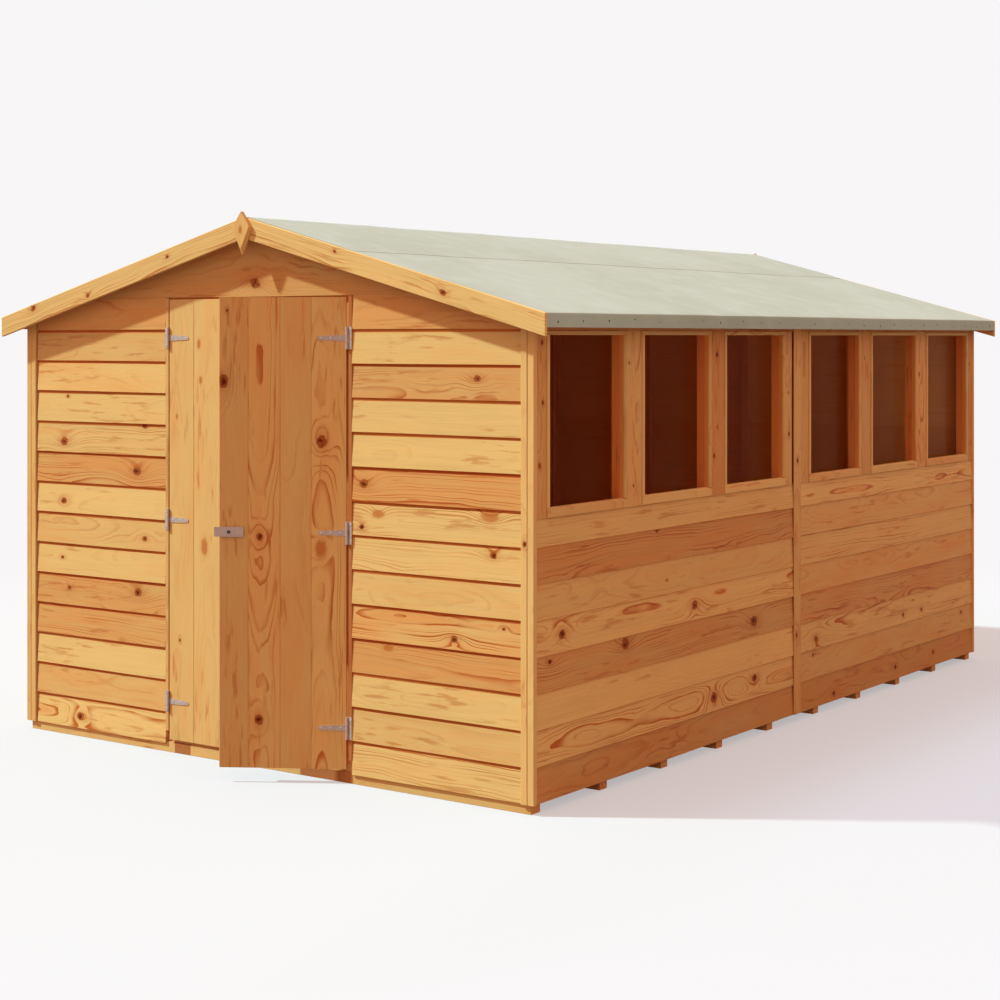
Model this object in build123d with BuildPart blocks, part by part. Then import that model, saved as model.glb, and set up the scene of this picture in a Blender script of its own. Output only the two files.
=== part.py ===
"""Wooden garden shed with a shallow apex roof, double doors in the front gable and six fixed
windows along the right side.

Millimetres, +Z up, +Y towards the back. The origin is the middle of the front joist's underside.
The left door leaf is shut and the right one stands ajar, as they rest.
"""

import os
from math import cos, radians, tan

from build123d import *

# Floor: joists across the width, boarded over
floor_width = 2360
floor_length = 3660
joist_count = 10
joist_width = 45
joist_height = 66
deck_thickness = 14

# Walls: lapped boards outside a light frame that stands on the deck
cladding_thickness = 16
cladding_bottom = 32
stud_depth = 32
stud_width = 38
rail_height = 38
panel_gap = 4
studs_per_panel = 4
back_stud_count = 5
corner_strip_width = 48
joint_strip_width = 60
strip_proud = 4

# Windows: three fixed lights in each half of the right side
lights_per_panel = 3
mullion_width = 102
window_outer_margin = 59
window_inner_margin = 103
light_height = 603
head_board_depth = 64
bead_width = 18
sill_bead_height = 32
head_bead_height = 14
bead_proud = 4
pane_thickness = 3
pane_lap = 12

# Roof: boarded slopes under felt that turns down over the eaves
eave_top_height = 1603
roof_pitch = 15.1
eave_overhang = 84
verge_overhang = 46
roof_board_thickness = 11
felt_thickness = 3
felt_band_height = 46
ridge_felt_reach = 488
eave_rail_width = 28
ridge_beam_width = 45
ridge_beam_depth = 45
purlin_width = 28
purlin_depth = 45
bargeboard_depth = 75
bargeboard_thickness = 14
finial_width = 79
finial_height = 155
finial_rise = 19
finial_shoulder_width = 72
finial_shoulder_share = 0.18
finial_waist_share = 0.43
finial_thickness = 15
finial_chamfer = 7

# Doorway and leaves
hinge_spacing = 854
leaf_gap = 5
jamb_width = 16
door_head_rise = 65
door_head_depth = 38
leaf_bottom = 50
leaf_thickness = 11
right_leaf_width = 440
ajar_angle = 31.5
ledge_depth = 95
ledge_thickness = 22
ledge_inset = 40
ledge_end_distance = 160

# Tee hinges: a wall plate with two knuckles and the pin, a tapered strap with the middle knuckle
hinge_end_distance = 140
hinge_standoff = 5
pin_radius = 2.5
pin_clearance = 0.08
barrel_radius = 4.5
plate_height = 77
plate_width = 18
plate_thickness = 2
knuckle_length = 22
knuckle_gap = 0.5
notch_clearance = 1
strap_length = 100
strap_tip_height = 14

# Turn button on the right leaf
button_rise = 2
button_length = 102
button_width = 33
button_thickness = 3
button_overhang = 16
button_corner = 4
button_standoff = 6
button_float = 0.3
screw_radius = 3
screw_washer_radius = 9
screw_head_radius = 6
screw_head_height = 3

# Places worked out from the sizes above
front_y = -joist_width / 2
back_y = front_y + floor_length
middle_y = (front_y + back_y) / 2
half_floor = floor_width / 2
wall_x = half_floor + cladding_thickness
frame_x = half_floor - stud_depth
front_face_y = front_y - cladding_thickness
back_face_y = back_y + cladding_thickness
frame_front_y = front_y + stud_depth
frame_back_y = back_y - stud_depth
strip_x = wall_x - corner_strip_width
deck_top = joist_height + deck_thickness
rail_top = deck_top + rail_height

half_span = wall_x + eave_overhang
slope = tan(radians(roof_pitch))
felt_rise = felt_thickness / cos(radians(roof_pitch))
board_rise = roof_board_thickness / cos(radians(roof_pitch))
board_edge_x = half_span - felt_thickness
band_bottom = eave_top_height - felt_band_height
verge_front_y = front_face_y - verge_overhang
verge_back_y = back_face_y + verge_overhang
roof_length = verge_back_y - verge_front_y

panel_length = (floor_length - panel_gap) / 2
panel_centres = (front_y + panel_length / 2, back_y - panel_length / 2)
lights_length = panel_length - window_outer_margin - window_inner_margin
lights_shift = (window_inner_margin - window_outer_margin) / 2
lights_middles = (panel_centres[0] - lights_shift, panel_centres[1] + lights_shift)
bead_frame_width = (lights_length - (lights_per_panel - 1) * mullion_width) / lights_per_panel
light_width = bead_frame_width - 2 * bead_width
light_pitch = bead_frame_width + mullion_width
light_offsets = [light_pitch * (number - (lights_per_panel - 1) / 2) for number in range(lights_per_panel)]
light_centres = [middle + offset for middle in lights_middles for offset in light_offsets]

hinge_x = hinge_spacing / 2
hinge_y = front_face_y - hinge_standoff
jamb_x = hinge_x + leaf_gap / 2
jamb_outer_x = jamb_x + jamb_width
door_head_height = eave_top_height + door_head_rise
leaf_top = door_head_height - leaf_gap
leaf_height = leaf_top - leaf_bottom
leaf_middle = (leaf_top + leaf_bottom) / 2
hinge_heights = (leaf_bottom + hinge_end_distance, leaf_middle, leaf_top - hinge_end_distance)
ledge_heights = (leaf_bottom + ledge_end_distance, leaf_middle, leaf_top - ledge_end_distance)
button_height = leaf_middle + button_rise
left_leaf_width = hinge_spacing - 2 * leaf_gap - right_leaf_width
left_along = Vector(1, 0, 0)
left_outward = Vector(0, -1, 0)
right_along = Vector(-1, 0, 0).rotate(Axis.Z, ajar_angle)
right_outward = left_outward.rotate(Axis.Z, ajar_angle)
button_along = leaf_gap / 2 + right_leaf_width + button_overhang - button_length / 2


def felt_top(x):
    """Height of the lower felt's upper face at a distance x from the ridge line."""
    return eave_top_height + (half_span - abs(x)) * slope


def board_top(x):
    """Height of the roof boards' upper face."""
    return felt_top(x) - felt_rise


def board_under(x):
    """Height of the roof boards' underside, which the walls meet."""
    return board_top(x) - board_rise


def across(y):
    """Upright plane across the shed at y, drawn in X and Z and extruded towards the front."""
    return Plane(origin=(0, y, 0), x_dir=(1, 0, 0), z_dir=(0, -1, 0))


def along(x):
    """Upright plane along the shed at x, drawn in Y and Z and extruded towards the right."""
    return Plane(origin=(x, 0, 0), x_dir=(0, 1, 0), z_dir=(1, 0, 0))


def on_leaf(hinge_side_x, leaf_along, leaf_outward, height, standoff):
    """Plane parallel to a leaf's face, standing off its hinge axis, drawn along the leaf and up."""
    origin = Vector(hinge_side_x, hinge_y, height) + leaf_outward * standoff
    return Plane(origin=origin, x_dir=leaf_along, z_dir=leaf_outward)


def rectangle(low_x, high_x, low_y, high_y):
    """Rectangle between two corners of the current sketch."""
    with Locations(((low_x + high_x) / 2, (low_y + high_y) / 2)):
        Rectangle(high_x - low_x, high_y - low_y)


def under_roof(low_x, high_x, bottom):
    """Upright outline whose top follows one roof slope."""
    Polygon(
        (low_x, bottom),
        (high_x, bottom),
        (high_x, board_under(high_x)),
        (low_x, board_under(low_x)),
        align=None,
    )


light_head_height = board_under(wall_x) - head_board_depth
sill_height = light_head_height - light_height

# Joists run across the shed and carry the deck
joist_pitch = (floor_length - joist_width) / (joist_count - 1)
with BuildPart() as floor_joists:
    with BuildSketch(Plane.XY):
        with Locations((0, middle_y)):
            with GridLocations(floor_width, joist_pitch, 1, joist_count):
                Rectangle(floor_width, joist_width)
    extrude(amount=joist_height)

with BuildPart() as floor_deck:
    with BuildSketch(Plane.XY.offset(joist_height)):
        rectangle(-half_floor, half_floor, front_y, back_y)
    extrude(amount=deck_thickness)

# Front wall beside and over the doorway
with BuildPart() as front_cladding:
    with BuildSketch(across(front_y)):
        under_roof(jamb_outer_x, strip_x, cladding_bottom)
        mirror(about=Plane.YZ)
    extrude(amount=cladding_thickness)

with BuildPart() as front_gable_cladding:
    with BuildSketch(across(front_y)):
        Polygon(
            (-jamb_outer_x, door_head_height),
            (jamb_outer_x, door_head_height),
            (jamb_outer_x, board_under(jamb_outer_x)),
            (0, board_under(0)),
            (-jamb_outer_x, board_under(jamb_outer_x)),
            align=None,
        )
    extrude(amount=cladding_thickness)

with BuildPart() as front_studs:
    with BuildSketch(across(frame_front_y)):
        under_roof(half_floor - stud_width, half_floor, rail_top)
        under_roof(jamb_outer_x, jamb_outer_x + stud_width, rail_top)
        mirror(about=Plane.YZ)
    extrude(amount=stud_depth)

with BuildPart() as front_rails:
    with BuildSketch(across(frame_front_y)):
        rectangle(jamb_outer_x, half_floor, deck_top, rail_top)
        mirror(about=Plane.YZ)
    extrude(amount=stud_depth)

with BuildPart() as door_jambs:
    with BuildSketch(across(frame_front_y)):
        rectangle(jamb_x, jamb_outer_x, deck_top, door_head_height)
        mirror(about=Plane.YZ)
    extrude(amount=stud_depth + cladding_thickness)

with BuildPart() as door_head:
    with BuildSketch(across(frame_front_y)):
        rectangle(-jamb_outer_x, jamb_outer_x, door_head_height, door_head_height + door_head_depth)
    extrude(amount=stud_depth)

# Back wall, closed up to the roof
with BuildPart() as back_cladding:
    with BuildSketch(across(back_face_y)):
        Polygon(
            (-strip_x, cladding_bottom),
            (strip_x, cladding_bottom),
            (strip_x, board_under(strip_x)),
            (0, board_under(0)),
            (-strip_x, board_under(strip_x)),
            align=None,
        )
    extrude(amount=cladding_thickness)

back_stud_pitch = (floor_width - stud_width) / (back_stud_count - 1)
with BuildPart() as back_studs:
    with BuildSketch(across(back_y)):
        with Locations((0, rail_top)):
            with GridLocations(back_stud_pitch, 0, back_stud_count, 1):
                Rectangle(stud_width, board_under(0), align=(Align.CENTER, Align.MIN))
        Polygon(
            (-half_floor, rail_top),
            (half_floor, rail_top),
            (half_floor, board_under(half_floor)),
            (0, board_under(0)),
            (-half_floor, board_under(half_floor)),
            align=None,
            mode=Mode.INTERSECT,
        )
    extrude(amount=stud_depth)

with BuildPart() as back_rails:
    with BuildSketch(across(back_y)):
        rectangle(-half_floor, half_floor, deck_top, rail_top)
    extrude(amount=stud_depth)

# Left wall, two boarded panels that butt at the middle
with BuildPart() as left_cladding:
    for centre in panel_centres:
        with BuildSketch(across(centre + panel_length / 2)):
            under_roof(-wall_x, -half_floor, cladding_bottom)
        extrude(amount=panel_length)

top_rail_bottom = light_head_height
stud_pitch = (panel_length - stud_depth - stud_width) / (studs_per_panel - 1)
frame_centres = (panel_centres[0] + stud_depth / 2, panel_centres[1] - stud_depth / 2)
with BuildPart() as left_studs:
    for centre in frame_centres:
        with BuildSketch(Plane.XY.offset(rail_top)):
            with Locations((-half_floor + stud_depth / 2, centre)):
                with GridLocations(0, stud_pitch, 1, studs_per_panel):
                    Rectangle(stud_depth, stud_width)
        extrude(amount=top_rail_bottom - rail_top)

with BuildPart() as left_rails:
    with BuildSketch(across(frame_back_y)):
        rectangle(-half_floor, -frame_x, deck_top, rail_top)
        under_roof(-half_floor, -frame_x, top_rail_bottom)
    extrude(amount=frame_back_y - frame_front_y)

# Right wall, boarded up to the sill with framed lights above
sill_rail_bottom = sill_height - rail_height
with BuildPart() as right_cladding:
    for centre in panel_centres:
        with BuildSketch(along(half_floor)):
            rectangle(centre - panel_length / 2, centre + panel_length / 2, cladding_bottom, sill_height)
        extrude(amount=cladding_thickness)

with BuildPart() as right_studs:
    for centre in frame_centres:
        with BuildSketch(Plane.XY.offset(rail_top)):
            with Locations((half_floor - stud_depth / 2, centre)):
                with GridLocations(0, stud_pitch, 1, studs_per_panel):
                    Rectangle(stud_depth, stud_width)
        extrude(amount=sill_rail_bottom - rail_top)

with BuildPart() as right_rails:
    with BuildSketch(across(frame_back_y)):
        rectangle(frame_x, half_floor, deck_top, rail_top)
        rectangle(frame_x, half_floor, sill_rail_bottom, sill_height)
        under_roof(frame_x, half_floor, top_rail_bottom)
    extrude(amount=frame_back_y - frame_front_y)

with BuildPart() as window_posts:
    with BuildSketch(along(frame_x)):
        rectangle(frame_front_y, middle_y - panel_gap / 2, sill_height, light_head_height)
        rectangle(middle_y + panel_gap / 2, frame_back_y, sill_height, light_head_height)
        for centre in light_centres:
            with Locations((centre, sill_height + light_height / 2)):
                Rectangle(light_width, light_height, mode=Mode.SUBTRACT)
    extrude(amount=stud_depth)

with BuildPart() as window_facings:
    with BuildSketch(along(half_floor)):
        for centre in panel_centres:
            rectangle(centre - panel_length / 2, centre + panel_length / 2, sill_height, light_head_height)
        for centre in light_centres:
            with Locations((centre, sill_height + light_height / 2)):
                Rectangle(bead_frame_width, light_height, mode=Mode.SUBTRACT)
    extrude(amount=cladding_thickness)

with BuildPart() as window_head_boards:
    for centre in panel_centres:
        with BuildSketch(across(centre + panel_length / 2)):
            under_roof(half_floor, wall_x, light_head_height)
        extrude(amount=panel_length)

with BuildPart() as window_beads:
    with BuildSketch(along(half_floor)):
        for centre in light_centres:
            with Locations((centre, sill_height + light_height / 2)):
                Rectangle(bead_frame_width, light_height)
            glass_bottom = sill_height + sill_bead_height
            with Locations((centre, (glass_bottom + light_head_height - head_bead_height) / 2)):
                Rectangle(
                    light_width,
                    light_height - sill_bead_height - head_bead_height,
                    mode=Mode.SUBTRACT,
                )
    extrude(amount=cladding_thickness + bead_proud)

with BuildPart() as window_panes:
    with BuildSketch(along(frame_x - pane_thickness)):
        for centre in light_centres:
            with Locations((centre, sill_height + light_height / 2)):
                Rectangle(light_width + 2 * pane_lap, light_height + 2 * pane_lap)
    extrude(amount=pane_thickness)

# Upright strips cover the four corners and the middle joint of each side
with BuildPart() as cover_strips:
    with BuildSketch(across(front_y)):
        under_roof(strip_x, wall_x, cladding_bottom)
        mirror(about=Plane.YZ)
    extrude(amount=cladding_thickness + strip_proud)
    with BuildSketch(across(back_face_y + strip_proud)):
        under_roof(strip_x, wall_x, cladding_bottom)
        mirror(about=Plane.YZ)
    extrude(amount=cladding_thickness + strip_proud)
    with BuildSketch(across(middle_y + joint_strip_width / 2)):
        under_roof(wall_x, wall_x + strip_proud, cladding_bottom)
        mirror(about=Plane.YZ)
    extrude(amount=joint_strip_width)

# Roof slopes
with BuildPart() as roof_panel_right:
    with BuildSketch(across(verge_back_y)):
        Polygon(
            (0, board_under(0)),
            (board_edge_x, board_under(board_edge_x)),
            (board_edge_x, board_top(board_edge_x)),
            (0, board_top(0)),
            align=None,
        )
    extrude(amount=roof_length)

with BuildPart() as roof_panel_left:
    mirror(roof_panel_right.part, about=Plane.YZ)

with BuildPart() as felt_right:
    with BuildSketch(across(verge_back_y)):
        Polygon(
            (0, board_top(0)),
            (board_edge_x, board_top(board_edge_x)),
            (board_edge_x, band_bottom),
            (half_span, band_bottom),
            (half_span, felt_top(half_span)),
            (0, felt_top(0)),
            align=None,
        )
    extrude(amount=roof_length)

with BuildPart() as felt_left:
    mirror(felt_right.part, about=Plane.YZ)

with BuildPart() as ridge_felt:
    with BuildSketch(across(verge_back_y)):
        Polygon(
            (0, felt_top(0)),
            (ridge_felt_reach, felt_top(ridge_felt_reach)),
            (ridge_felt_reach, felt_top(ridge_felt_reach) + felt_rise),
            (0, felt_top(0) + felt_rise),
            align=None,
        )
        mirror(about=Plane.YZ)
    extrude(amount=roof_length)

with BuildPart() as eave_rails:
    with BuildSketch(across(verge_back_y)):
        under_roof(board_edge_x - eave_rail_width, board_edge_x, band_bottom)
        mirror(about=Plane.YZ)
    extrude(amount=roof_length)

ridge_beam_bottom = board_under(ridge_beam_width / 2) - ridge_beam_depth
with BuildPart() as ridge_beam:
    with BuildSketch(across(frame_back_y)):
        under_roof(0, ridge_beam_width / 2, ridge_beam_bottom)
        mirror(about=Plane.YZ)
    extrude(amount=frame_back_y - frame_front_y)

purlin_x = half_floor / 2
with BuildPart() as purlins:
    with BuildSketch(across(frame_back_y)):
        under_roof(purlin_x, purlin_x + purlin_width, board_under(purlin_x + purlin_width) - purlin_depth)
        mirror(about=Plane.YZ)
    extrude(amount=frame_back_y - frame_front_y)

# Bargeboards close the verges and meet in a plumb cut at the apex, under a pointed finial
with BuildPart() as bargeboards_right:
    with BuildSketch(across(verge_front_y), across(verge_back_y + bargeboard_thickness)):
        Polygon(
            (0, felt_top(0) - bargeboard_depth),
            (half_span, felt_top(half_span) - bargeboard_depth),
            (half_span, felt_top(half_span)),
            (0, felt_top(0)),
            align=None,
        )
    extrude(amount=bargeboard_thickness)

with BuildPart() as bargeboards_left:
    mirror(bargeboards_right.part, about=Plane.YZ)

finial_top = felt_top(0) + finial_rise
finial_shoulder = finial_top - finial_height * finial_shoulder_share
finial_waist = finial_top - finial_height * finial_waist_share
finial_front_y = verge_front_y - bargeboard_thickness
finial_back_y = verge_back_y + bargeboard_thickness
with BuildPart() as finials:
    with BuildSketch(across(finial_front_y), across(finial_back_y + finial_thickness)):
        Polygon(
            (0, finial_top),
            (-finial_shoulder_width / 2, finial_shoulder),
            (-finial_width / 2, finial_waist),
            (0, finial_top - finial_height),
            (finial_width / 2, finial_waist),
            (finial_shoulder_width / 2, finial_shoulder),
            align=None,
        )
    extrude(amount=finial_thickness)
    front_sides = faces().sort_by(Axis.Y)[0].edges().sort_by(Axis.Z)[:2]
    back_sides = faces().sort_by(Axis.Y)[-1].edges().sort_by(Axis.Z)[:2]
    chamfer(front_sides + back_sides, finial_chamfer)

# Wall halves of the hinges, each with two knuckles and the pin
knuckle_pitch = (plate_height - knuckle_length) / 2
with BuildPart() as hinge_plates:
    for height in hinge_heights:
        with BuildSketch(across(front_face_y)):
            rectangle(hinge_x, hinge_x + plate_width, height - plate_height / 2, height + plate_height / 2)
            with Locations((hinge_x, height)):
                Rectangle(
                    2 * (barrel_radius + notch_clearance),
                    knuckle_length + 2 * knuckle_gap,
                    mode=Mode.SUBTRACT,
                )
        extrude(amount=plate_thickness)
        with BuildSketch(Plane.XY.offset(height - plate_height / 2)):
            with Locations((hinge_x, hinge_y)):
                Circle(barrel_radius)
        extrude(amount=knuckle_pitch - knuckle_gap)
        with BuildSketch(Plane.XY.offset(height + knuckle_length / 2 + knuckle_gap)):
            with Locations((hinge_x, hinge_y)):
                Circle(barrel_radius)
        extrude(amount=knuckle_pitch - knuckle_gap)
        with BuildSketch(Plane.XY.offset(height - plate_height / 2)):
            with Locations((hinge_x, hinge_y)):
                Circle(pin_radius)
        extrude(amount=plate_height)
    mirror(about=Plane.YZ)


def leaf_boards(hinge_side_x, leaf_along, leaf_outward, leaf_width):
    """Boarded face of a leaf, from its hinge edge to its free edge."""
    standoff = -hinge_standoff - leaf_thickness
    with BuildSketch(on_leaf(hinge_side_x, leaf_along, leaf_outward, leaf_middle, standoff)) as outline:
        with Locations((leaf_gap / 2 + leaf_width / 2, 0)):
            Rectangle(leaf_width, leaf_height)
    extrude(outline.sketch, amount=leaf_thickness)


def leaf_ledges(hinge_side_x, leaf_along, leaf_outward, leaf_width):
    """Ledges across the back of a leaf, which hold its boards together."""
    for height in ledge_heights:
        standoff = -hinge_standoff - leaf_thickness - ledge_thickness
        with BuildSketch(on_leaf(hinge_side_x, leaf_along, leaf_outward, height, standoff)) as outline:
            with Locations((leaf_gap / 2 + leaf_width / 2, 0)):
                Rectangle(leaf_width - 2 * ledge_inset, ledge_depth)
        extrude(outline.sketch, amount=ledge_thickness)


def leaf_straps(hinge_side_x, leaf_along, leaf_outward):
    """Tapered straps with their knuckles, bored for the hinge pins."""
    for height in hinge_heights:
        with BuildSketch(on_leaf(hinge_side_x, leaf_along, leaf_outward, height, -hinge_standoff)) as outline:
            tip_x = strap_length - strap_tip_height / 2
            Polygon(
                (0, -knuckle_length / 2),
                (tip_x, -strap_tip_height / 2),
                (tip_x, strap_tip_height / 2),
                (0, knuckle_length / 2),
                align=None,
            )
            with Locations((tip_x, 0)):
                Circle(strap_tip_height / 2)
        extrude(outline.sketch, amount=plate_thickness)
        with BuildSketch(Plane.XY.offset(height - knuckle_length / 2)) as knuckle:
            with Locations((hinge_side_x, hinge_y)):
                Circle(barrel_radius)
        extrude(knuckle.sketch, amount=knuckle_length)
        with BuildSketch(Plane.XY.offset(height - knuckle_length / 2)) as bore:
            with Locations((hinge_side_x, hinge_y)):
                Circle(pin_radius + pin_clearance)
        extrude(bore.sketch, amount=knuckle_length, mode=Mode.SUBTRACT)


# Left leaf, shut
with BuildPart() as left_door_leaf:
    leaf_boards(-hinge_x, left_along, left_outward, left_leaf_width)

with BuildPart() as left_door_ledges:
    leaf_ledges(-hinge_x, left_along, left_outward, left_leaf_width)

with BuildPart() as left_hinge_straps:
    leaf_straps(-hinge_x, left_along, left_outward)

# Right leaf, ajar
with BuildPart() as right_door_leaf:
    leaf_boards(hinge_x, right_along, right_outward, right_leaf_width)

with BuildPart() as right_door_ledges:
    leaf_ledges(hinge_x, right_along, right_outward, right_leaf_width)

with BuildPart() as right_hinge_straps:
    leaf_straps(hinge_x, right_along, right_outward)

# Turn button that laps over the left leaf, and the screw it turns on
leaf_face = -hinge_standoff
with BuildPart() as turn_button:
    with BuildSketch(on_leaf(hinge_x, right_along, right_outward, button_height, leaf_face + button_standoff)):
        with Locations((button_along, 0)):
            RectangleRounded(button_length, button_width, button_corner)
            Circle(screw_radius + pin_clearance, mode=Mode.SUBTRACT)
    extrude(amount=button_thickness)

with BuildPart() as turn_button_screw:
    with BuildSketch(on_leaf(hinge_x, right_along, right_outward, button_height, leaf_face)):
        with Locations((button_along, 0)):
            Circle(screw_washer_radius)
    extrude(amount=button_standoff - button_float)
    with BuildSketch(on_leaf(hinge_x, right_along, right_outward, button_height, leaf_face)):
        with Locations((button_along, 0)):
            Circle(screw_radius)
    extrude(amount=button_standoff + button_thickness + button_float)
    head_standoff = leaf_face + button_standoff + button_thickness + button_float
    with BuildSketch(on_leaf(hinge_x, right_along, right_outward, button_height, head_standoff)):
        with Locations((button_along, 0)):
            Circle(screw_head_radius)
    extrude(amount=screw_head_height)
    fillet(faces().sort_by(Axis(origin=(0, 0, 0), direction=right_outward))[-1].edges(), screw_head_height / 2)

pieces = {
    "floor_joists": floor_joists,
    "floor_deck": floor_deck,
    "front_cladding": front_cladding,
    "front_gable_cladding": front_gable_cladding,
    "front_studs": front_studs,
    "front_rails": front_rails,
    "door_jambs": door_jambs,
    "door_head": door_head,
    "back_cladding": back_cladding,
    "back_studs": back_studs,
    "back_rails": back_rails,
    "left_cladding": left_cladding,
    "left_studs": left_studs,
    "left_rails": left_rails,
    "right_cladding": right_cladding,
    "right_studs": right_studs,
    "right_rails": right_rails,
    "window_posts": window_posts,
    "window_facings": window_facings,
    "window_head_boards": window_head_boards,
    "window_beads": window_beads,
    "window_panes": window_panes,
    "cover_strips": cover_strips,
    "roof_panel_left": roof_panel_left,
    "roof_panel_right": roof_panel_right,
    "felt_left": felt_left,
    "felt_right": felt_right,
    "ridge_felt": ridge_felt,
    "eave_rails": eave_rails,
    "ridge_beam": ridge_beam,
    "purlins": purlins,
    "bargeboards_left": bargeboards_left,
    "bargeboards_right": bargeboards_right,
    "finials": finials,
    "hinge_plates": hinge_plates,
    "left_door_leaf": left_door_leaf,
    "left_door_ledges": left_door_ledges,
    "left_hinge_straps": left_hinge_straps,
    "right_door_leaf": right_door_leaf,
    "right_door_ledges": right_door_ledges,
    "right_hinge_straps": right_hinge_straps,
    "turn_button": turn_button,
    "turn_button_screw": turn_button_screw,
}
os.makedirs("parts", exist_ok=True)
for name, piece in pieces.items():
    piece.part.label = name
    export_step(piece.part, f"parts/{name}.step")
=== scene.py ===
import math

import bmesh
import bpy
import numpy as np
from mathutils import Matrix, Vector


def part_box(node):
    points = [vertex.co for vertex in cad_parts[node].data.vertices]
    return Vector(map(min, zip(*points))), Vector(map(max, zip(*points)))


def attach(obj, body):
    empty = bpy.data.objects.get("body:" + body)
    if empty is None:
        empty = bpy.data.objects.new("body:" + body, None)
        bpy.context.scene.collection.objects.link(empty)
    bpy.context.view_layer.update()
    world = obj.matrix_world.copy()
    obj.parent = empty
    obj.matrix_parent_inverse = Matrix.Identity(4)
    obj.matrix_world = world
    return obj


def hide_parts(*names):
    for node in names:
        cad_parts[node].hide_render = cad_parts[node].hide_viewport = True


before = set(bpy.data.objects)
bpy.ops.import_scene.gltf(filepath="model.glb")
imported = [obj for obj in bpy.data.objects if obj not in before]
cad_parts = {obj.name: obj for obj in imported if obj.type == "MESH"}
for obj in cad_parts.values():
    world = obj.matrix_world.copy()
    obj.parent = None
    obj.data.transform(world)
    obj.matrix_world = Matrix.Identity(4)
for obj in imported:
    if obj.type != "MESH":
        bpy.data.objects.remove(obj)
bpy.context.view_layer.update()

# ---- Joists under the floor ----
# Ten sawn pine joists lie across the shed on the ground and carry the deck. Their ends show under the
# side boards. They are dipped in the same golden preservative as the rest, and are rougher.


def feed(socket, value):
    """Gives a socket a plain value, or a link from another node's output."""
    if isinstance(value, bpy.types.NodeSocket):
        socket.id_data.links.new(value, socket)
    else:
        socket.default_value = value


def fill(node, **values):
    """Feeds a node's inputs by name, spaces written as underscores."""
    for name, value in values.items():
        feed(node.inputs[name.replace("_", " ")], value)
    return node


def new_node(kind, *values):
    """A new shader node in the tree that the sockets among some values belong to."""
    tree = next(value.id_data for value in values if isinstance(value, bpy.types.NodeSocket))
    return tree.nodes.new("ShaderNode" + kind)


def calc(operation, *values):
    """One step of arithmetic on sockets or plain numbers."""
    step = new_node("Math", *values)
    step.operation = operation
    for socket, value in zip(step.inputs, values):
        feed(socket, value)
    return step.outputs[0]


def chained(operation):
    """One operation carried on over any number of values, from the first to the last."""
    def run(first, *others):
        for value in others:
            first = calc(operation, first, value)
        return first
    return run


total, minus, times, ratio, largest, least = map(chained, "ADD SUBTRACT MULTIPLY DIVIDE MAXIMUM MINIMUM".split())


def square(value, reach=1):
    """(value / reach)^2"""
    return calc("POWER", ratio(value, reach), 2)


def eased(value, low, high, start=0, end=1):
    """Smooth step of a value from low to high, put out between start and end."""
    step = new_node("MapRange", value)
    step.interpolation_type = "SMOOTHSTEP"
    fill(step, Value=value, From_Min=low, From_Max=high, To_Min=start, To_Max=end)
    return step.outputs["Result"]


def cloud(along, across, along_scale, across_scale, detail=2):
    """Noise from 0 to 1 over two lengths, with its own number of swells per metre in each."""
    point = fill(new_node("CombineXYZ", along), X=times(along, along_scale), Y=times(across, across_scale))
    noise = new_node("TexNoise", along)
    noise.noise_dimensions = "2D"
    return fill(noise, Scale=1, Detail=detail, Vector=point.outputs["Vector"]).outputs["Fac"]


def blend(share, first, second, how="MIX"):
    """Mixes two colours by a share from 0 to 1."""
    mix = new_node("Mix", share, first, second)
    mix.data_type = "RGBA"
    mix.blend_type = how
    for place, value in ((0, share), (6, first), (7, second)):
        feed(mix.inputs[place], value)
    return mix.outputs[2]


def split(vector):
    """The three parts of a vector."""
    parts = fill(new_node("SeparateXYZ", vector), Vector=vector)
    return [parts.outputs[axis] for axis in "XYZ"]


def open_group(name, inputs, outputs):
    """An empty node group with named sockets of each kind: its tree, its inputs by name and its end."""
    tree = bpy.data.node_groups.new(name, "ShaderNodeTree")
    for way, sockets in (("INPUT", inputs), ("OUTPUT", outputs)):
        for socket, kind in ((socket, kind) for kind, names in sockets.items() for socket in names):
            tree.interface.new_socket(socket, in_out=way, socket_type="NodeSocket" + kind)
    return tree, tree.nodes.new("NodeGroupInput").outputs, tree.nodes.new("NodeGroupOutput")


def place_group(group, **values):
    """Puts a group in where its values come from, feeds its inputs, and gives its outputs."""
    placed = new_node("Group", *values.values())
    placed.node_tree = group
    return fill(placed, **values).outputs


# One knot: a vector holds its place along and across the board and its radius. The rings bulge round it
# in a long lens, its body is a nearly round plug, and the wood about it is stained. A radius below 0 is
# a knot just under the face, of which only a ragged red blotch shows.
knot_group, given, end = open_group(
    "One knot", {"Float": ("Along", "Across", "Ragged"), "Vector": ("Knot",)},
    {"Float": ("Bulge", "Body", "Stain", "Blotch", "Halo", "Spread")})
knot_along, knot_across, knot_radius = split(given["Knot"])
LEAST_KNOT = 0.001
radius = largest(calc("ABSOLUTE", knot_radius), 0.8 * LEAST_KNOT)
present = calc("GREATER_THAN", radius, LEAST_KNOT)
shows = calc("GREATER_THAN", knot_radius, LEAST_KNOT)
hidden = minus(present, shows)
off_along = ratio(minus(given["Along"], knot_along), radius)
off_across = ratio(minus(given["Across"], knot_across), radius)


def lens(long_reach, wide_reach):
    """exp(-(along / long reach)^2 - (across / wide reach)^2), a smooth lens that is 1 in the knot's middle."""
    return calc("EXPONENT", times(total(square(off_along, long_reach), square(off_across, wide_reach)), -1))


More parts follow.
